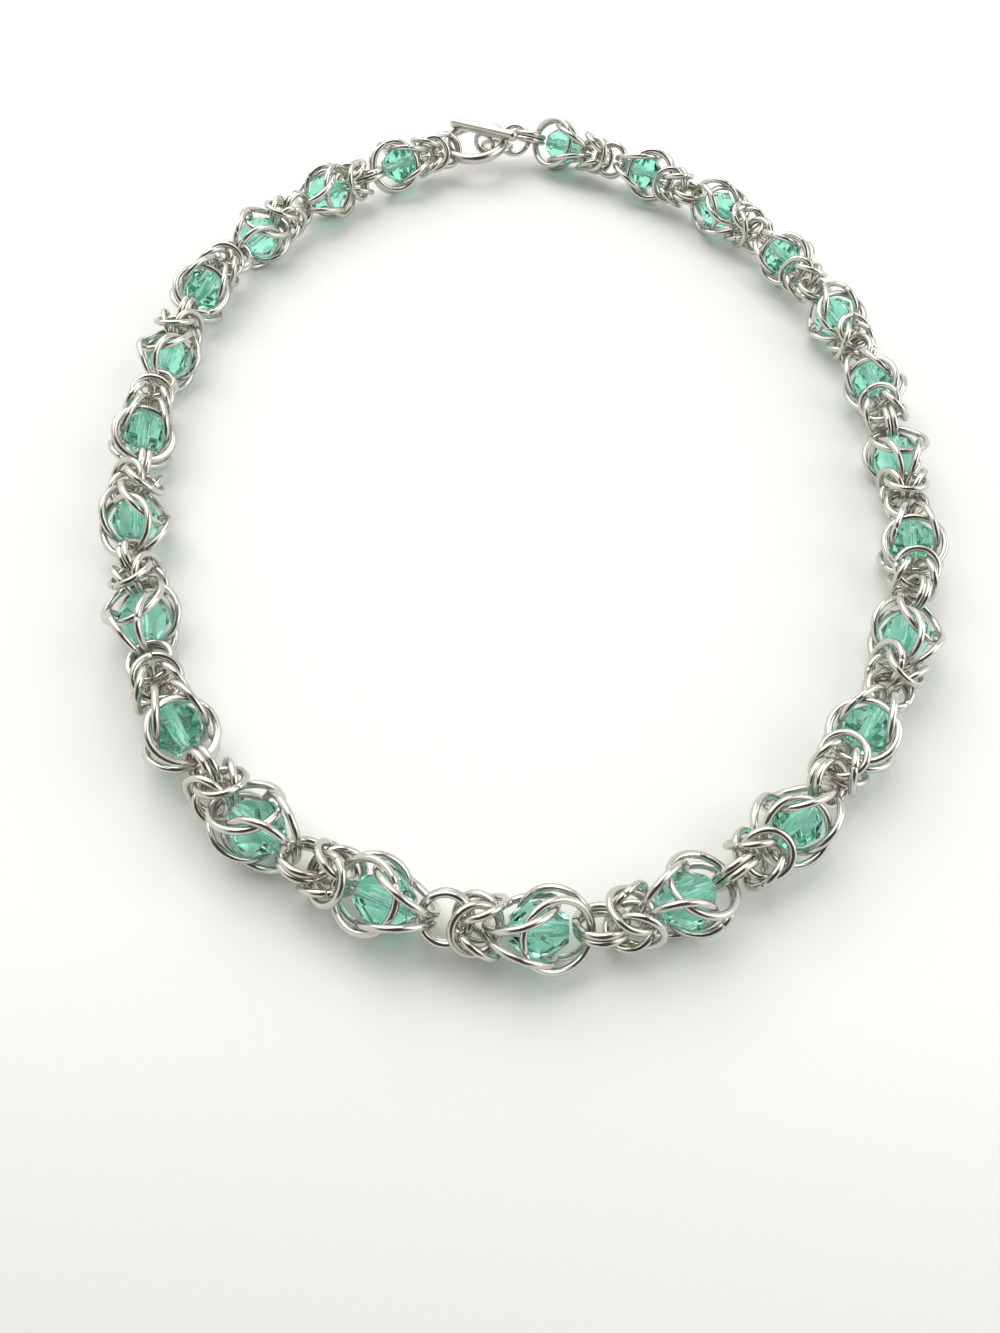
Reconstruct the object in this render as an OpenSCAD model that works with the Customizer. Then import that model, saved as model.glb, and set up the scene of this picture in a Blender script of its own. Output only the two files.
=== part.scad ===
/* [Rings] */
// Diameter of the wire that the chain's rings are bent from
wire_d = 1.15; // [1.0:0.05:1.15]
// Inside diameter of the small rings, in the knots and connectors
small_id = 5.75; // [5.7:0.05:5.8]
// Inside diameter of the large rings that cage the crystals
large_id = 8.95; // [8.9:0.05:9]

/* [Crystals] */
// Diameter of a crystal over its widest corners
crystal_d = 8.4; // [7:0.1:8.4]
// Length of a crystal along the chain
crystal_l = 8; // [6.5:0.1:8]
// Diameter of the hole drilled along a crystal
crystal_bore_d = 1.5; // [1:0.1:1.6]

/* [Toggle clasp] */
// Inside diameter of the toggle ring
toggle_id = 11.6; // [11.4:0.1:11.8]
// Diameter of the toggle ring's wire
toggle_wire_d = 2.2; // [2.1:0.1:2.2]
// Length of the toggle bar
bar_l = 18; // [17.5:0.5:19]
// Diameter of the toggle bar
bar_d = 2.4; // [2.3:0.1:2.4]
// Inside diameter of the eye at the bar's middle
eye_id = 3.55; // [3.5:0.05:3.6]
// Diameter of the eye's wire
eye_wire_d = 1.1; // [1:0.05:1.1]

/* [Hidden] */
steel = [0.72, 0.71, 0.69];
sea_green = [0.25, 0.72, 0.6, 0.8];

// Length of chain from one crystal to the next
pitch = 21.3;
// Where the chain's route starts, one pitch before the first crystal, and its direction there
route_start = [-18.2, 95.4];
route_heading = -148.8;

// The route, one row for each crystal between a row for each end of the chain.
// bend: how far the chain turns to the left before the next row, in degrees.
// roll: how far the cage at this row is rolled about the chain, in degrees.
BEND = 0;
ROLL = 1;
ROUTE = [
    // bend, roll
    [10, 122],
    [10, 32],
    [12, 112],
    [16, 168],
    [11, 64],
    [8, 16],
    [8, 68],
    [5, 124],
    [15, 20],
    [21, 76],
    [17, 164],
    [21, 32],
    [25, 132],
    [19, 84],
    [8, 36],
    [16, 168],
    [13, 120],
    [5, 168],
    [9, 84],
    [11, 132],
    [11, 0],
    [16, 124],
    [14, 176],
    [11, 120],
    [11, 32],
    [0, 122],
];
crystal_count = len(ROUTE) - 2;

// Each pair of rings, seen from the crystal that it serves.
// back: how far the pair's middle lies before the crystal, along the chain.
// spread: how far each ring lies from the chain's centre line.
// tilt: how far the pair opens towards the next crystal, in degrees.
// bend_share and twist_share: how much of the bend and twist since the last crystal it follows.
BACK = 0;
SPREAD = 1;
TILT = 2;
BEND_SHARE = 3;
TWIST_SHARE = 4;
connector = [12.63, 0.47 * wire_d, 0, 0.47, 0.31];
knot_first = [8.07, 2.24, 27.8, 0.54, 0.81];
knot_folded = [8.37, 2.01, -22.9, 0.56, 0.85];
cage_first = [2.41, 2.27, 18.9, 1, 1];
cage_folded = [-2.41, 2.28, -18.8, 1, 1];

small_r = (small_id + wire_d) / 2;
large_r = (large_id + wire_d) / 2;
toggle_r = (toggle_id + toggle_wire_d) / 2;
eye_r = (eye_id + eye_wire_d) / 2;
arc_fn = 48;
wire_fn = 16;

// The straight distance covered by a length of chain that bends evenly
function chord(length, bend) =
    bend == 0 ? length : length * sin(bend / 2) / (bend * PI / 360);

function step_along(point, heading, length, bend) =
    point + chord(length, bend) * [cos(heading + bend / 2), sin(heading + bend / 2)];

headings = [for (i = 0, h = route_heading; i < len(ROUTE); h = h + ROUTE[i][BEND], i = i + 1) h];
points = [
    for (i = 0, p = route_start; i < len(ROUTE);
        p = step_along(p, headings[i], pitch, ROUTE[i][BEND]), i = i + 1) p
];

// How far a cage pair reaches below the chain's centre line when its rings lean this far from flat
function reach(pair, lean) =
    pair[SPREAD] * abs(cos(lean))
    + large_r * sqrt(1 - pow(cos(pair[TILT]) * cos(lean), 2)) + wire_d / 2;

// Height of the chain's centre line where a cage rests on its lowest ring
function rise(i) =
    max(reach(cage_first, ROUTE[i][ROLL]), reach(cage_folded, 90 - ROUTE[i][ROLL]));

// How far a cage is rolled beyond a quarter turn from the last one, from -90 to 90
function twist(i) = (ROUTE[i][ROLL] - ROUTE[i - 1][ROLL] + 720) % 180 - 90;

// Place of a knot pair before crystal i
function knot_place(i, pair) =
    let (
        s = pitch - pair[BACK],
        bend = ROUTE[i - 1][BEND],
        p = step_along(points[i - 1], headings[i - 1], s, bend * s / pitch),
        z = rise(i - 1) + (rise(i) - rise(i - 1)) * s / pitch
    ) [p.x, p.y, z];

function crystal_node(i) = str("crystal_", i < 10 ? "0" : "", i);

module ring(mean_r, d)
    rotate_extrude($fn = arc_fn) translate([mean_r, 0]) circle(d = d, $fn = wire_fn);

// Two rings side by side that open like a V along +X
module ring_pair(mean_r, pair)
    for (side = [-1, 1])
        translate([0, 0, side * pair[SPREAD]])
            rotate([0, -side * pair[TILT], 0])
                ring(mean_r, wire_d);

module at_crystal(i)
    translate([points[i].x, points[i].y, rise(i)])
        rotate([ROUTE[i][ROLL], 0, headings[i]])
            children();

module at_knot(i, pair)
    translate(knot_place(i, pair))
        rotate([
            ROUTE[i - 1][ROLL] + 90 + twist(i) * pair[TWIST_SHARE],
            0,
            headings[i - 1] + ROUTE[i - 1][BEND] * pair[BEND_SHARE]
        ])
            children();

module quarter_turn()
    rotate([-90, 0, 0]) children();

// The four large rings around crystal i
module cage(i)
    at_crystal(i) {
        translate([-cage_first[BACK], 0, 0]) ring_pair(large_r, cage_first);
        translate([-cage_folded[BACK], 0, 0]) quarter_turn() ring_pair(large_r, cage_folded);
    }

// The two rings side by side, touching, that join a cage to the next knot
module connector_pair(i)
    at_knot(i, connector) quarter_turn() ring_pair(small_r, connector);

// The four small rings before crystal i, the second pair folded back over the first
module knot(i) {
    at_knot(i, knot_first) ring_pair(small_r, knot_first);
    at_knot(i, knot_folded) quarter_turn() ring_pair(small_r, knot_folded);
}

module cage_rings()
    color(steel) for (i = [1:crystal_count]) cage(i);

module knot_rings()
    color(steel) {
        for (i = [1:crystal_count]) knot(i);
        for (i = [1:crystal_count + 1]) connector_pair(i);
    }

// One row for each tier of a crystal's corners, as shares of its half length and radius
CRYSTAL_TIERS = [
    // along, out, half steps round
    [-1, 0.46, 0],
    [-0.54, 0.77, 1],
    [0, 1, 0],
    [0.54, 0.77, 1],
    [1, 0.46, 0],
];
crystal_sides = 8;

module crystal(i)
    color(sea_green)
        at_crystal(i)
            rotate([0, 90, 0])
                difference() {
                    hull() polyhedron(
                        points = [
                            for (tier = CRYSTAL_TIERS, k = [0:crystal_sides - 1])
                                let (a = (k + tier[2] / 2) * 360 / crystal_sides)
                                [
                                    crystal_d / 2 * tier[1] * cos(a),
                                    crystal_d / 2 * tier[1] * sin(a),
                                    crystal_l / 2 * tier[0]
                                ]
                        ],
                        faces = [
                            for (t = [0:len(CRYSTAL_TIERS) - 1])
                                [for (k = [0:crystal_sides - 1]) t * crystal_sides + k]
                        ]
                    );
                    cylinder(d = crystal_bore_d, h = 2 * crystal_l, center = true, $fn = crystal_sides);
                }

// The clasp's own frame: from the middle of the first connector towards the last, level with the floor
clasp_start = knot_place(1, connector);
clasp_end = knot_place(crystal_count + 1, connector);
clasp_heading = atan2(clasp_end.y - clasp_start.y, clasp_end.x - clasp_start.x);

// Place of the toggle ring in that frame, and how far it leans about X and then about Y, in degrees
toggle_at = [7.88, 0.69, 6.56];
toggle_lean = [-0.6, -7.9];
// Direction of the bar across the toggle ring, and how far its middle lies past the ring's, along and across
bar_heading = -48.1;
bar_shift = [1.43, 1.88];
// Clearance between the bar and the toggle ring that it lies on
bar_clearance = 0.13;
// How deep the eye is soldered into the bar, and how far it leans about the bar, in degrees
eye_seat = 0.15;
eye_lean = -2.2;

// The two links from the bar's eye to the end of the chain.
// at: middle of the link.
// roll: how far the link is rolled out of the upright, in degrees.
// heading: direction of the link's own X, in degrees.
AT = 0;
LINK_ROLL = 1;
LINK_HEADING = 2;
END_LINKS = [
    // at, roll, heading
    [[13.42, 0.45, 5.03], 79.8, -25.2],
    [[18.07, 0.65, 5.76], -54.8, -37.4],
];

module in_clasp()
    translate([clasp_start.x, clasp_start.y, 0]) rotate(clasp_heading) children();

module at_toggle()
    in_clasp() translate(toggle_at) rotate([toggle_lean.x, toggle_lean.y, 0]) children();

module toggle_ring()
    color(steel) at_toggle() ring(toggle_r, toggle_wire_d);

module toggle_bar()
    color(steel)
        at_toggle()
            rotate(bar_heading)
                translate([bar_shift.x, bar_shift.y, (toggle_wire_d + bar_d) / 2 + bar_clearance]) {
                    rotate([0, 90, 0])
                        cylinder(d = bar_d, h = bar_l - bar_d, center = true, $fn = arc_fn);
                    for (end = [-1, 1])
                        translate([end * (bar_l - bar_d) / 2, 0, 0]) sphere(d = bar_d, $fn = arc_fn);
                    rotate([eye_lean, 0, 0])
                        translate([0, 0, eye_seat - bar_d / 2 - eye_r])
                            quarter_turn() ring(eye_r, eye_wire_d);
                }

module end_links()
    color(steel)
        in_clasp()
            for (link = END_LINKS)
                translate(link[AT])
                    rotate([link[LINK_ROLL] - 90, 0, link[LINK_HEADING]])
                        ring(small_r, wire_d);

for (i = [1:crystal_count]) crystal(i);
cage_rings();
knot_rings();
toggle_ring();
toggle_bar();
end_links();
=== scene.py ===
"""Looks of a chainmail necklace: steel jump rings, cut crystals, a toggle clasp and the stage."""

import random
from math import atan2, pi, radians, sin, tau

import bpy
import numpy as np
from bpy.props import FloatProperty, FloatVectorProperty, IntProperty, PointerProperty
from mathutils import Matrix, Vector


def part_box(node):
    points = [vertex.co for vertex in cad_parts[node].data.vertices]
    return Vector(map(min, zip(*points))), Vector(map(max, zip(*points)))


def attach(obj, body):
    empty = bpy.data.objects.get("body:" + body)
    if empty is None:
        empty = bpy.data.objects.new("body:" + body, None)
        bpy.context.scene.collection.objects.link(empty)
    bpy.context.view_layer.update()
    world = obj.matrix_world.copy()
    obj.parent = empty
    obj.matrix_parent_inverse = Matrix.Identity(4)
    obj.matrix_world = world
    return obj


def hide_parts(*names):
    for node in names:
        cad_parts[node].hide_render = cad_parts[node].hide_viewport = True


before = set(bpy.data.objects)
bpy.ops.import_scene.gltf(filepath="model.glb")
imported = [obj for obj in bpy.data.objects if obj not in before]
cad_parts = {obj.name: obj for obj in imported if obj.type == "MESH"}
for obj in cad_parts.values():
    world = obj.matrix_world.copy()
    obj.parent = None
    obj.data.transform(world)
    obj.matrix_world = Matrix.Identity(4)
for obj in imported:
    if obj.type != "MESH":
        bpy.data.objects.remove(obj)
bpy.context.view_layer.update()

bl_info = {
    "name": "Chainmail necklace",
    "version": (1, 0, 0),
    "blender": (4, 5, 0),
    "location": "3D View > Sidebar > Necklace",
    "description": "Dresses a chainmail necklace with caged crystals and lights it",
    "category": "Add Mesh",
}

MM = 0.001
BODY = "root"
CRYSTALS = [name for name in sorted(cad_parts) if name.startswith("crystal_")]
SAME_POINT = 0.001 * MM  # points closer than this are one point
CHART = "wire"  # the map of a piece's surface, along its wire or bore and round it
FINE_RELIEF = 0.02 * MM  # height of the marks and the grain in the finishes
GLASS_IOR = 1.4


class Value:
    """A socket's value, on which arithmetic adds Math nodes."""

    def __init__(self, finish, socket):
        self.finish = finish
        self.socket = socket

    def math(self, operation, a, b):
        return self.finish.node("ShaderNodeMath", {"operation": operation}, {0: a, 1: b})

    def __add__(self, other):
        return self.math("ADD", self, other)

    def __radd__(self, other):
        return self.math("ADD", other, self)

    def __sub__(self, other):
        return self.math("SUBTRACT", self, other)

    def __rsub__(self, other):
        return self.math("SUBTRACT", other, self)

    def __mul__(self, other):
        return self.math("MULTIPLY", self, other)

    def __rmul__(self, other):
        return self.math("MULTIPLY", other, self)


class Finish:
    """A material or world whose nodes are added one call at a time."""

    def __init__(self, owner):
        owner.use_nodes = True
        self.owner = owner
        self.tree = owner.node_tree
        self.tree.nodes.clear()

    def node(self, kind, settings=None, inputs=None, outlet=0):
        """Add a node, set it, give its sockets their values or links, and return one outlet."""
        made = self.tree.nodes.new(kind)
        for name, value in (settings or {}).items():
            if name == "stops":
                self.set_stops(made.color_ramp, value)
            else:
                setattr(made, name, value)
        for name, value in (inputs or {}).items():
            if isinstance(value, Value):
                self.tree.links.new(value.socket, made.inputs[name])
            else:
                made.inputs[name].default_value = value
        return Value(self, made.outputs[outlet]) if made.outputs else made

    @staticmethod
    def set_stops(ramp, stops):
        while len(ramp.elements) < len(stops):
            ramp.elements.new(1.0)
        for element, (place, colour) in zip(ramp.elements, stops):
            element.position = place
            element.color = colour

    def noise(self, vector, scale, detail=3.0, roughness=0.55):
        inputs = {"Vector": vector, "Scale": scale, "Detail": detail, "Roughness": roughness}
        return self.node("ShaderNodeTexNoise", inputs=inputs)

    def stretch(self, vector, scale):
        inputs = {"Vector": vector, "Scale": scale}
        return self.node("ShaderNodeMapping", {"vector_type": "POINT"}, inputs)

    def span(self, value, low, high, to_low=0.0, to_high=1.0):
        """Where the value goes from low to high, the result goes from to_low to to_high."""
        source = {"Value": value, "From Min": low, "From Max": high}
        target = {"To Min": to_low, "To Max": to_high}
        return self.node("ShaderNodeMapRange", {"clamp": True}, source | target)

    def mix(self, factor, first, second):
        """Blend two colours, which are the node's sockets 6 and 7."""
        settings = {"data_type": "RGBA", "blend_type": "MIX"}
        return self.node("ShaderNodeMix", settings, {0: factor, 6: first, 7: second}, outlet=2)

    def bump(self, height, distance, strength):
        inputs = {"Height": height, "Distance": distance, "Strength": strength}
        return self.node("ShaderNodeBump", inputs=inputs)

    def surface(self, **inputs):
        """Close the material with one shader, whose sockets are named with underscores."""
        named = {name.replace("_", " "): value for name, value in inputs.items()}
        shader = self.node("ShaderNodeBsdfPrincipled", {"distribution": "GGX"}, named)
        self.node("ShaderNodeOutputMaterial", inputs={"Surface": shader})
        return self.owner


def rgba(colour):
    return (*colour, 1.0)


def scaled(colour, share):
    """The colour made brighter or darker, as far as full brightness."""
    return tuple(min(1.0, channel * share) for channel in colour)


def drawn_steel(name, colour, roughness):
    """Bright wire, with the drawing marks along it that a ring keeps when it is coiled and cut."""
    finish = Finish(bpy.data.materials.new(name))
    along = finish.node("ShaderNodeUVMap", {"uv_map": CHART})
    place = finish.node("ShaderNodeTexCoord", outlet="Object")
    tone = finish.node("ShaderNodeAttribute", {"attribute_name": "tone"}, outlet="Fac")
    marks = finish.noise(finish.stretch(along, (0.35, 22.0, 1.0)), scale=1.0, detail=4.0)
    smudge = finish.noise(place, scale=420.0)
    nicks = finish.noise(finish.stretch(along, (5.0, 9.0, 1.0)), scale=1.0, detail=5.0, roughness=0.7)
    shade = finish.span(0.5 * tone + 0.5 * smudge, low=0.25, high=0.75)
    base = finish.mix(shade, rgba(scaled(colour, 0.9)), rgba(scaled(colour, 1.04)))
    worn = finish.span(nicks, low=0.62, high=0.8, to_high=0.16)
    rough = roughness * (0.6 + 0.7 * smudge) + 0.07 * marks + worn
    relief = finish.bump(marks + 0.5 * nicks, distance=FINE_RELIEF, strength=0.35)
    return finish.surface(Base_Color=base, Metallic=1.0, Roughness=rough, Normal=relief)


def cast_steel(name, colour, roughness):
    """The clasp's thicker steel, tumbled smooth, with faint pits and rubbed patches."""
    finish = Finish(bpy.data.materials.new(name))
    place = finish.node("ShaderNodeTexCoord", outlet="Object")
    patch = finish.noise(place, scale=260.0, detail=4.0)
    grain = finish.noise(place, scale=2600.0, detail=4.0, roughness=0.65)
    base = finish.mix(patch, rgba(scaled(colour, 0.88)), rgba(scaled(colour, 1.04)))
    rough = roughness * (0.6 + 0.8 * patch) + 0.06 * grain
    relief = finish.bump(grain, distance=FINE_RELIEF, strength=0.3)
    return finish.surface(Base_Color=base, Metallic=1.0, Roughness=rough, Normal=relief)


def cut_glass(name, colour, roughness):
    """Clear sea green glass with a faint cloudiness and fine polishing marks."""
    finish = Finish(bpy.data.materials.new(name))
    place = finish.node("ShaderNodeTexCoord", outlet="Object")
    cloud = finish.noise(place, scale=300.0, detail=2.0)
    polish = finish.noise(place, scale=1500.0)
    base = finish.mix(cloud, rgba(scaled(colour, 0.9)), rgba(scaled(colour, 1.1)))
    rough = roughness + 0.03 * polish
    return finish.surface(Base_Color=base, Roughness=rough, IOR=GLASS_IOR, Transmission_Weight=1.0)


def frosted_bore(name, colour, roughness):
    """The drilled channel of a crystal, frosted by the drill in pale streaks along it, which also carry
    a painted glow that stands in for the light the frost catches.
    """
    clear = (0.42, 0.84, 0.72)
    dark = (0.0, 0.0, 0.0)
    # colour of the painted glow that the streaks emit in place of light caught by the frost
    bright = (0.75, 0.5, 0.55)
    finish = Finish(bpy.data.materials.new(name))
    along = finish.node("ShaderNodeUVMap", {"uv_map": CHART})
    streaks = finish.noise(finish.stretch(along, (0.12, 11.0, 1.0)), scale=1.0, detail=2.0)
    share = finish.span(streaks, low=0.46, high=0.6)
    base = finish.mix(share, rgba(clear), rgba(colour))
    # painted glow: the frosted streaks emit light, standing in for light the channel catches and
    # scatters
    painted_glow = finish.mix(share, rgba(dark), rgba(bright))
    rough = roughness * (0.7 + 0.6 * streaks)
    return finish.surface(
        Base_Color=base,
        Roughness=rough,
        IOR=GLASS_IOR,
        Transmission_Weight=0.25,
        Emission_Color=painted_glow,
        Emission_Strength=0.6,
    )


def pale_paper(name, colour):
    """The plain pale sheet that the necklace lies on, with painted shade that darkens it towards its
    front.
    """
    finish = Finish(bpy.data.materials.new(name))
    place = finish.node("ShaderNodeTexCoord", outlet="Object")
    fibre = finish.noise(place, scale=900.0, detail=4.0)
    tint = finish.noise(place, scale=6.0, detail=2.0)
    paper = finish.mix(tint, rgba(scaled(colour, 0.985)), rgba(scaled(colour, 1.01)))
    forward = finish.node("ShaderNodeSeparateXYZ", inputs={"Vector": place}, outlet="Y")
    # painted shade: the paper darkens towards the front, standing in for the light falling off there
    painted_falloff = finish.span(forward, low=-0.15, high=-0.1, to_low=1.0, to_high=0.0)
    base = finish.mix(painted_falloff, paper, rgba(scaled(colour, 0.84)))
    relief = finish.bump(fibre, distance=FINE_RELIEF, strength=0.15)
    return finish.surface(Base_Color=base, Roughness=0.6 + 0.1 * fibre, Normal=relief)


def deselect():
    """Leave edit mode, with nothing selected."""
    if bpy.context.object and bpy.context.object.mode != "OBJECT":
        bpy.ops.object.mode_set(mode="OBJECT")
    bpy.ops.object.select_all(action="DESELECT")


def make_active(*pieces):
    """Select these pieces alone, with the first of them active."""
    deselect()
    for piece in pieces:
        piece.select_set(True)
    bpy.context.view_layer.objects.active = pieces[0]


def added(name):
    """The piece that the last operator added, under this name."""
    piece = bpy.context.object
    piece.name = name
    return piece


def coordinates(mesh):
    found = np.empty(len(mesh.vertices) * 3)
    mesh.vertices.foreach_get("co", found)
    return found.reshape(-1, 3)


def loose_parts(node):
    """The points of each connected part of a CAD node, in order round the necklace."""
    copy = bpy.data.objects.new("parts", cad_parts[node].data.copy())
    bpy.context.collection.objects.link(copy)
    make_active(copy)
    bpy.ops.object.mode_set(mode="EDIT")
    bpy.ops.mesh.select_all(action="SELECT")
    bpy.ops.mesh.remove_doubles(threshold=SAME_POINT)
    bpy.ops.mesh.separate(type="LOOSE")
    bpy.ops.object.mode_set(mode="OBJECT")
    parts = list(bpy.context.selected_objects)
    points = [coordinates(part.data) for part in parts]
    for part in parts:
        bpy.data.meshes.remove(part.data)
    return sorted(points, key=lambda p: tuple(np.round([atan2(*p.mean(0)[:2]), *p.mean(0)], 6)))


def ring_places(node):
    """Centre, axis, mean radius and wire radius of each ring in a CAD node.

    A solid that is thicker than one ring is a connector's two rings, side by side.
    """
    one_ring = 1.3  # a lone ring reaches no further than this many wire radii from its plane
    places = []
    for points in loose_parts(node):
        centre = points.mean(0)
        offsets = points - centre
        axis = np.linalg.svd(offsets, full_matrices=False)[2][2]
        height = np.abs(offsets @ axis).max()
        out = np.linalg.norm(offsets - np.outer(offsets @ axis, axis), axis=1)
        wire_r = (out.max() - out.min()) / 2
        mean_r = (out.max() + out.min()) / 2
        steps = (0,) if height < one_ring * wire_r else (-1, 1)
        for step in steps:
            places.append((Vector(centre + axis * step * wire_r), Vector(axis), mean_r, wire_r))
    return places


def turned(axis, centre, turn):
    """The matrix that puts a piece's own Z on the axis, and turns it about that."""
    aimed = axis.to_track_quat("Z", "Y").to_matrix().to_4x4()
    return Matrix.Translation(centre) @ aimed @ Matrix.Rotation(turn, 4, "Z")


def chart_wire(mesh, mean_r):
    """A map of a ring's surface: millimetres along the wire, and turns round it."""
    uv = mesh.uv_layers.get(CHART) or mesh.uv_layers.new(name=CHART)
    for face in mesh.polygons:
        spots = []
        for corner in face.loop_indices:
            x, y, z = mesh.vertices[mesh.loops[corner].vertex_index].co
            out = (x * x + y * y) ** 0.5 - mean_r
            spots.append([atan2(y, x) % tau, atan2(z, out) / tau])
        # a face over the map's edge is carried on past it, not drawn back across the map
        for axis, whole in ((0, tau), (1, 1.0)):
            highest = max(spot[axis] for spot in spots)
            for spot in spots:
                if highest - spot[axis] > whole / 2:
                    spot[axis] += whole
        for corner, (angle, round_wire) in zip(face.loop_indices, spots):
            uv.data[corner].uv = (angle * mean_r / MM, round_wire)


LAP_POWER = 9  # the higher it is, the nearer to the seam a ring's two ends leave its plane
SMOOTH_BELOW = radians(50)


def jump_ring(name, mean_r, wire_r, sizes):
    """One ring of round wire, sawn through, its two ends butted with a fine gap and a slight lap."""
    sides = sizes.wire_sides
    as_wide = pi / (sides * sin(pi / sides))  # makes the polygon as wide, on average, as the round wire
    deselect()
    bpy.ops.mesh.primitive_circle_add(
        vertices=sides,
        radius=wire_r * as_wide,
        fill_type="NGON",
        location=(mean_r, 0, 0),
        rotation=(pi / 2, 0, 0),
    )
    ring = added(name)
    bpy.ops.object.transform_apply(location=True, rotation=True, scale=True)
    gap = sizes.seam / mean_r
    bpy.ops.object.mode_set(mode="EDIT")
    bpy.ops.mesh.select_all(action="SELECT")
    bpy.ops.mesh.spin(steps=sizes.ring_steps, angle=tau - gap, center=(0, 0, 0), axis=(0, 0, 1))
    bpy.ops.mesh.select_all(action="SELECT")
    bpy.ops.mesh.remove_doubles(threshold=SAME_POINT)
    bpy.ops.mesh.select_all(action="DESELECT")
    bpy.ops.mesh.select_non_manifold()
    bpy.ops.mesh.edge_face_add()
    bpy.ops.mesh.select_all(action="SELECT")
    bpy.ops.mesh.normals_make_consistent(inside=False)
    bpy.ops.mesh.select_all(action="DESELECT")
    bpy.ops.object.mode_set(mode="OBJECT")
    for face in ring.data.polygons:
        face.select = len(face.vertices) == sides
    bpy.ops.object.mode_set(mode="EDIT")
    bpy.ops.mesh.select_mode(type="FACE")
    bpy.ops.mesh.region_to_loop()
    bpy.ops.mesh.bevel(offset=sizes.end_bevel, segments=2, affect="EDGES")
    bpy.ops.object.mode_set(mode="OBJECT")
    for vertex in ring.data.vertices:
        turn = (atan2(vertex.co.y, vertex.co.x) % tau) / pi - 1  # -1 and 1 at the two ends
        vertex.co.z += sizes.lap / 2 * turn**LAP_POWER
    chart_wire(ring.data, mean_r)
    ring.data.polygons.foreach_set("use_smooth", [True] * len(ring.data.polygons))
    bpy.ops.object.shade_smooth_by_angle(angle=SMOOTH_BELOW)
    return ring


def ring_mail(name, places, sizes, material, draw):
    """All the rings of one kind: copies of one ring, each with its seam and tone its own."""
    _, _, mean_r, wire_r = places[0]
    pattern = jump_ring(name + "_pattern", mean_r, wire_r, sizes)
    copies = []
    for centre, axis, _, _ in places:
        mesh = pattern.data.copy()
        mesh.transform(turned(axis, centre, draw.uniform(0, tau)))
        tone = mesh.attributes.new("tone", "FLOAT", "POINT")
        tone.data.foreach_set("value", [draw.random()] * len(mesh.vertices))
        copy = bpy.data.objects.new(name, mesh)
        bpy.context.collection.objects.link(copy)
        copies.append(copy)
    bpy.data.meshes.remove(pattern.data)
    make_active(*copies)
    bpy.ops.object.join()
    mail = added(name)
    mail.data.materials.append(material)
    return mail


def crystal_place(node):
    """Where a crystal lies: its matrix, its radius over the corners and its half length.

    The two tables at its ends are its largest flat faces, and look along its axis.
    """
    low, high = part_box(node)
    centre = (low + high) / 2
    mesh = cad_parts[node].data
    areas = {}
    for face in mesh.polygons:
        key = tuple(round(part, 2) + 0.0 for part in face.normal)  # adding 0.0 turns -0.0 into 0.0
        areas.setdefault(key, [0.0, face.normal.copy()])[0] += face.area
    axis = max(areas.values(), key=lambda found: found[0])[1].normalized()
    points = [vertex.co - centre for vertex in mesh.vertices]
    half = max(point.dot(axis) for point in points)
    corner = max((point - axis * point.dot(axis) for point in points), key=lambda p: p.length)
    side = corner.normalized()
    basis = Matrix((side, axis.cross(side), axis)).transposed().to_4x4()
    return Matrix.Translation(centre) @ basis, corner.length, half


CRYSTAL_TIERS = (
    # along, out, half steps round
    (-1.0, 0.46, 0),
    (-0.54, 0.77, 1),
    (0.0, 1.0, 0),
    (0.54, 0.77, 1),
    (1.0, 0.46, 0),
)
CRYSTAL_SIDES = 8
FLAT_BELOW = radians(1)
EASE_ABOVE = radians(8)
DRILL_SIDES = 20


def in_bore(face, bore):
    """Whether a crystal's face is part of its drilled channel."""
    return Vector(face.center[:2]).length < bore * 0.51 and abs(face.normal.z) < 0.5


def cut_crystal(radius, half, sizes):
    """One crystal on its own Z: rows of facets between two tables, its edges eased, drilled."""
    deselect()
    bpy.ops.mesh.primitive_circle_add(vertices=CRYSTAL_SIDES, radius=radius)
    crystal = added("crystal_pattern")
    bpy.ops.object.mode_set(mode="EDIT")
    bpy.ops.mesh.delete(type="VERT")
    for along, out, half_steps in CRYSTAL_TIERS:
        bpy.ops.mesh.primitive_circle_add(
            vertices=CRYSTAL_SIDES,
            radius=radius * out,
            location=(0, 0, half * along),
            rotation=(0, 0, pi / 2 + half_steps * pi / CRYSTAL_SIDES),
        )
    bpy.ops.mesh.select_all(action="SELECT")
    bpy.ops.mesh.convex_hull()
    bpy.ops.mesh.select_all(action="SELECT")
    bpy.ops.mesh.dissolve_limited(angle_limit=FLAT_BELOW)
    bpy.ops.mesh.normals_make_consistent(inside=False)
    bpy.ops.object.mode_set(mode="OBJECT")
    ease = crystal.modifiers.new("ease", "BEVEL")
    ease.width = sizes.edge_bevel
    ease.segments = 1
    ease.limit_method = "ANGLE"
    ease.angle_limit = EASE_ABOVE
    make_active(crystal)
    bpy.ops.object.modifier_apply(modifier=ease.name)
    deselect()
    bpy.ops.mesh.primitive_cylinder_add(vertices=DRILL_SIDES, radius=sizes.bore / 2, depth=4 * half)
    drill = added("drill")
    bore = crystal.modifiers.new("bore", "BOOLEAN")
    bore.object = drill
    bore.operation = "DIFFERENCE"
    bore.solver = "EXACT"
    make_active(crystal)
    bpy.ops.object.modifier_apply(modifier=bore.name)
    bpy.data.meshes.remove(drill.data)
    uv = crystal.data.uv_layers.get(CHART) or crystal.data.uv_layers.new(name=CHART)
    for face in crystal.data.polygons:
        face.material_index = int(in_bore(face, sizes.bore))
        for corner in face.loop_indices:
            x, y, z = crystal.data.vertices[crystal.data.loops[corner].vertex_index].co
            uv.data[corner].uv = (z / MM, atan2(y, x) / tau)
    return crystal


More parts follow.
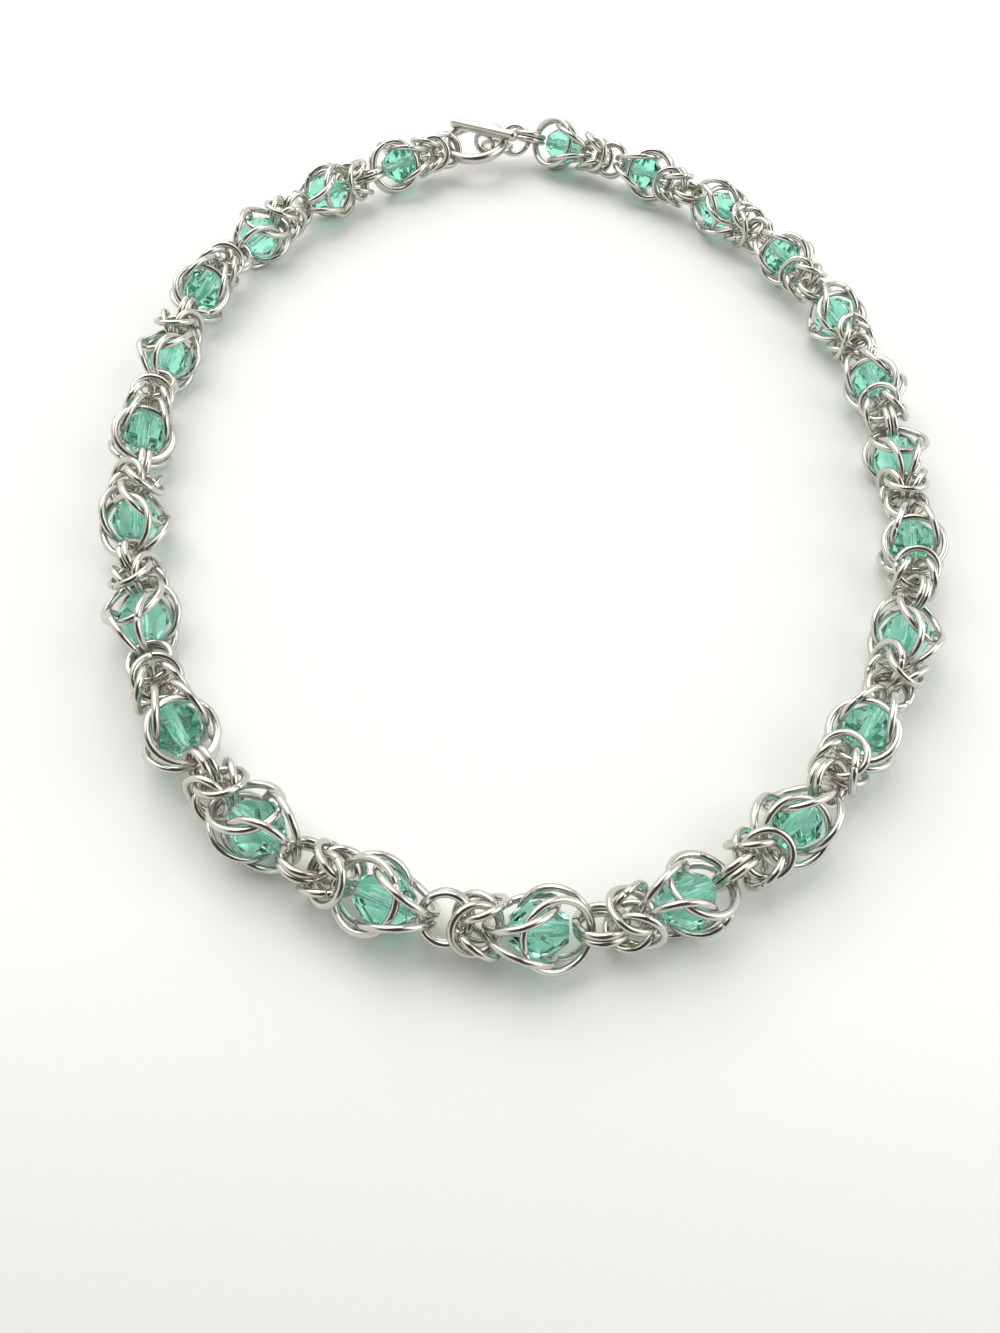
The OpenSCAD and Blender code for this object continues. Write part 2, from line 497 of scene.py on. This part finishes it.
class RingSizes(bpy.types.PropertyGroup):
    """Sizes and finish of the jump rings."""

    wire_sides: IntProperty(
        name="Wire sides",
        description="Sides round a ring's wire",
        default=8,
        min=6,
    )
    ring_steps: IntProperty(
        name="Ring steps",
        description="Steps round a ring",
        default=30,
        min=12,
    )
    seam: FloatProperty(
        name="Seam",
        description="Gap between a ring's two ends",
        default=0.07 * MM,
        unit="LENGTH",
    )
    lap: FloatProperty(
        name="Lap",
        description="How far the ends lie out of line",
        default=0.1 * MM,
        unit="LENGTH",
    )
    end_bevel: FloatProperty(
        name="End bevel",
        description="Rounding of the sawn ends",
        default=0.09 * MM,
        unit="LENGTH",
    )
    colour: FloatVectorProperty(
        name="Colour",
        description="Colour of the steel",
        default=(0.64, 0.63, 0.58),
        subtype="COLOR",
    )
    roughness: FloatProperty(
        name="Roughness",
        description="Roughness of the wire",
        default=0.16,
    )


class CrystalSizes(bpy.types.PropertyGroup):
    """Sizes and finish of the crystals."""

    bore: FloatProperty(
        name="Bore",
        description="Diameter of the drilled channel",
        default=1.5 * MM,
        unit="LENGTH",
    )
    edge_bevel: FloatProperty(
        name="Edge bevel",
        description="Rounding of the facets' edges",
        default=0.05 * MM,
        unit="LENGTH",
    )
    colour: FloatVectorProperty(
        name="Colour",
        description="Colour of the glass",
        default=(0.38, 0.94, 0.74),
        subtype="COLOR",
    )
    roughness: FloatProperty(
        name="Roughness",
        description="Roughness of the facets",
        default=0.05,
    )
    frost: FloatVectorProperty(
        name="Frost",
        description="Colour of the drilled channel",
        default=(0.97, 1.0, 0.99),
        subtype="COLOR",
    )
    frost_roughness: FloatProperty(
        name="Frost roughness",
        description="Roughness of the drilled channel",
        default=0.5,
    )


class ClaspSizes(bpy.types.PropertyGroup):
    """Finish of the clasp."""

    colour: FloatVectorProperty(
        name="Colour",
        description="Colour of the steel",
        default=(0.62, 0.6, 0.56),
        subtype="COLOR",
    )
    roughness: FloatProperty(
        name="Roughness",
        description="Roughness of the steel",
        default=0.2,
    )


class StageSizes(bpy.types.PropertyGroup):
    """The camera, the floor and the lights."""

    camera_at: FloatVectorProperty(
        name="Camera",
        description="Where the camera stands",
        default=(-0.17 * MM, -143.9 * MM, 137.5 * MM),
        subtype="XYZ",
        unit="LENGTH",
    )
    pitch: FloatProperty(
        name="Pitch",
        description="How far the camera looks down",
        default=radians(56.2),
        subtype="ANGLE",
    )
    roll: FloatProperty(
        name="Roll",
        description="How far the camera is turned about its view",
        default=radians(5.7),
        subtype="ANGLE",
    )
    lens: FloatProperty(
        name="Lens",
        description="Focal length of the camera in millimetres",
        default=27.0,
    )
    floor: FloatVectorProperty(
        name="Floor",
        description="Colour of the floor",
        default=(0.92, 0.925, 0.915),
        subtype="COLOR",
    )
    window: FloatProperty(
        name="Window",
        description="Power of the large light behind the necklace",
        default=9.9,
        subtype="POWER",
    )
    side: FloatProperty(
        name="Side",
        description="Power of the side light",
        default=4.0,
        subtype="POWER",
    )


def lay_rings(context, node, name, steel_name, seed):
    """Model the rings of a CAD node as one piece that stands for it."""
    sizes = context.scene.necklace_rings
    steel = drawn_steel(steel_name, sizes.colour, sizes.roughness)
    mail = ring_mail(name, ring_places(node), sizes, steel, random.Random(seed))
    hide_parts(node)
    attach(mail, BODY)


class NECKLACE_OT_cage_rings(bpy.types.Operator):
    """Model the large rings that cage the crystals"""

    bl_idname = "necklace.cage_rings"
    bl_label = "Cage rings"

    def execute(self, context):
        lay_rings(context, "cage_rings", "cage_ring_mail", "bright_steel_large", seed=11)
        return {"FINISHED"}


class NECKLACE_OT_knot_rings(bpy.types.Operator):
    """Model the small rings of the knots and connectors"""

    bl_idname = "necklace.knot_rings"
    bl_label = "Knot rings"

    def execute(self, context):
        lay_rings(context, "knot_rings", "knot_ring_mail", "bright_steel_small", seed=23)
        return {"FINISHED"}


class NECKLACE_OT_end_links(bpy.types.Operator):
    """Model the two links between the bar's eye and the chain"""

    bl_idname = "necklace.end_links"
    bl_label = "End links"

    def execute(self, context):
        lay_rings(context, "end_links", "end_link_mail", "bright_steel_links", seed=5)
        return {"FINISHED"}


class NECKLACE_OT_crystals(bpy.types.Operator):
    """Cut one crystal and lay a copy in each cage"""

    bl_idname = "necklace.crystals"
    bl_label = "Crystals"

    def execute(self, context):
        sizes = context.scene.necklace_crystals
        glass = cut_glass("sea_green_glass", sizes.colour, sizes.roughness)
        frost = frosted_bore("frosted_bore", sizes.frost, sizes.frost_roughness)
        _, radius, half = crystal_place(CRYSTALS[0])
        pattern = cut_crystal(radius, half, sizes)
        for node in CRYSTALS:
            mesh = pattern.data.copy()
            mesh.transform(crystal_place(node)[0])
            mesh.materials.append(glass)
            mesh.materials.append(frost)
            crystal = bpy.data.objects.new("cut_" + node, mesh)
            context.collection.objects.link(crystal)
            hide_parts(node)
            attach(crystal, BODY)
        bpy.data.meshes.remove(pattern.data)
        return {"FINISHED"}


class NECKLACE_OT_clasp(bpy.types.Operator):
    """Finish the toggle ring and the toggle bar"""

    bl_idname = "necklace.clasp"
    bl_label = "Toggle clasp"

    def execute(self, context):
        sizes = context.scene.necklace_clasp
        steel = cast_steel("tumbled_steel", sizes.colour, sizes.roughness)
        for node in ("toggle_ring", "toggle_bar"):
            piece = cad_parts[node]
            piece.data.materials.clear()
            piece.data.materials.append(steel)
        return {"FINISHED"}


FLOOR_SIZE = 6
FLOOR_DROP = 0.02 * MM  # how far the floor lies under the lowest ring
NEAR_CLIP = 0.005


class NECKLACE_OT_stage(bpy.types.Operator):
    """Lay the floor and place the lights and the camera"""

    bl_idname = "necklace.stage"
    bl_label = "Stage"

    def execute(self, context):
        sizes = context.scene.necklace_stage
        deselect()
        bpy.ops.mesh.primitive_plane_add(size=FLOOR_SIZE, location=(0, 0, -FLOOR_DROP))
        floor = added("floor")
        floor.data.materials.append(pale_paper("pale_paper", sizes.floor))
        soft_light(
            "window_light",
            place=(-0.36, 0.46, 0.9),
            size=1.2,
            power=sizes.window,
            colour=(1.0, 0.985, 0.96),
        )
        soft_light(
            "side_light",
            place=(0.8, 0.0, 0.7),
            size=0.9,
            power=sizes.side,
            colour=(0.96, 0.98, 1.0),
        )
        room_light(context)
        bpy.ops.object.camera_add(location=sizes.camera_at)
        camera = added("camera")
        turn = Matrix.Rotation(pi / 2 - sizes.pitch, 4, "X") @ Matrix.Rotation(sizes.roll, 4, "Z")
        camera.matrix_world = Matrix.Translation(sizes.camera_at) @ turn
        camera.data.lens = sizes.lens
        camera.data.clip_start = NEAR_CLIP
        context.scene.camera = camera
        context.scene.view_settings.view_transform = "Standard"
        return {"FINISHED"}


def soft_light(name, place, size, power, colour):
    """A square soft light that faces the middle of the necklace."""
    bpy.ops.object.light_add(type="AREA", location=place)
    light = added(name)
    light.data.size = size
    light.data.energy = power
    light.data.color = colour
    light.rotation_euler = (-Vector(place)).to_track_quat("-Z", "Y").to_euler()


def room_light(context):
    """A plain pale backdrop, and for reflections a dim room, darkest above the necklace's near side."""
    walls = (
        # height, colour
        (0.0, (1.0, 0.99, 0.97, 1)),
        (0.3, (0.82, 0.81, 0.78, 1)),
        (0.75, (0.5, 0.49, 0.46, 1)),
    )
    gloom_towards = (0.05, -0.62, 0.78)
    gloom_colour = (0.06, 0.05, 0.043)
    backdrop = (0.7, 0.695, 0.675)
    strength = 1.17
    world = bpy.data.worlds.new("room")
    context.scene.world = world
    finish = Finish(world)
    place = finish.node("ShaderNodeTexCoord", outlet="Generated")
    height = finish.node("ShaderNodeSeparateXYZ", inputs={"Vector": place}, outlet="Z")
    wall = finish.node("ShaderNodeValToRGB", {"stops": walls}, {"Fac": height})
    near = finish.node(
        "ShaderNodeVectorMath",
        {"operation": "DOT_PRODUCT"},
        {0: place, 1: gloom_towards},
        outlet="Value",
    )
    clutter = finish.noise(place, scale=2.4)
    gloom = finish.span(near + 0.5 * clutter, low=0.82, high=1.07)
    mirrored = finish.mix(gloom, wall, rgba(gloom_colour))
    direct = finish.node("ShaderNodeLightPath", outlet="Is Camera Ray")
    colour = finish.mix(direct, mirrored, rgba(backdrop))
    shader = finish.node("ShaderNodeBackground", inputs={"Color": colour, "Strength": strength})
    finish.node("ShaderNodeOutputWorld", inputs={"Surface": shader})


GROUPS = {
    "necklace_rings": RingSizes,
    "necklace_crystals": CrystalSizes,
    "necklace_clasp": ClaspSizes,
    "necklace_stage": StageSizes,
}
OPERATORS = (
    NECKLACE_OT_cage_rings,
    NECKLACE_OT_knot_rings,
    NECKLACE_OT_end_links,
    NECKLACE_OT_crystals,
    NECKLACE_OT_clasp,
    NECKLACE_OT_stage,
)


class NECKLACE_PT_panel(bpy.types.Panel):
    """Lists the necklace's pieces and their sizes"""

    bl_idname = "NECKLACE_PT_panel"
    bl_label = "Necklace"
    bl_space_type = "VIEW_3D"
    bl_region_type = "UI"
    bl_category = "Necklace"

    def draw(self, context):
        for operator in OPERATORS:
            self.layout.operator(operator.bl_idname)
        for name, group in GROUPS.items():
            box = self.layout.box()
            for size in group.__annotations__:
                box.prop(getattr(context.scene, name), size)


def register():
    for cls in (*GROUPS.values(), *OPERATORS, NECKLACE_PT_panel):
        bpy.utils.register_class(cls)
    for name, group in GROUPS.items():
        setattr(bpy.types.Scene, name, PointerProperty(type=group))


def unregister():
    for name in GROUPS:
        delattr(bpy.types.Scene, name)
    for cls in reversed((*GROUPS.values(), *OPERATORS, NECKLACE_PT_panel)):
        bpy.utils.unregister_class(cls)


def main():
    register()
    bpy.ops.necklace.stage()
    bpy.ops.necklace.cage_rings()
    bpy.ops.necklace.knot_rings()
    bpy.ops.necklace.end_links()
    bpy.ops.necklace.crystals()
    bpy.ops.necklace.clasp()


if __name__ == "__main__":
    main()
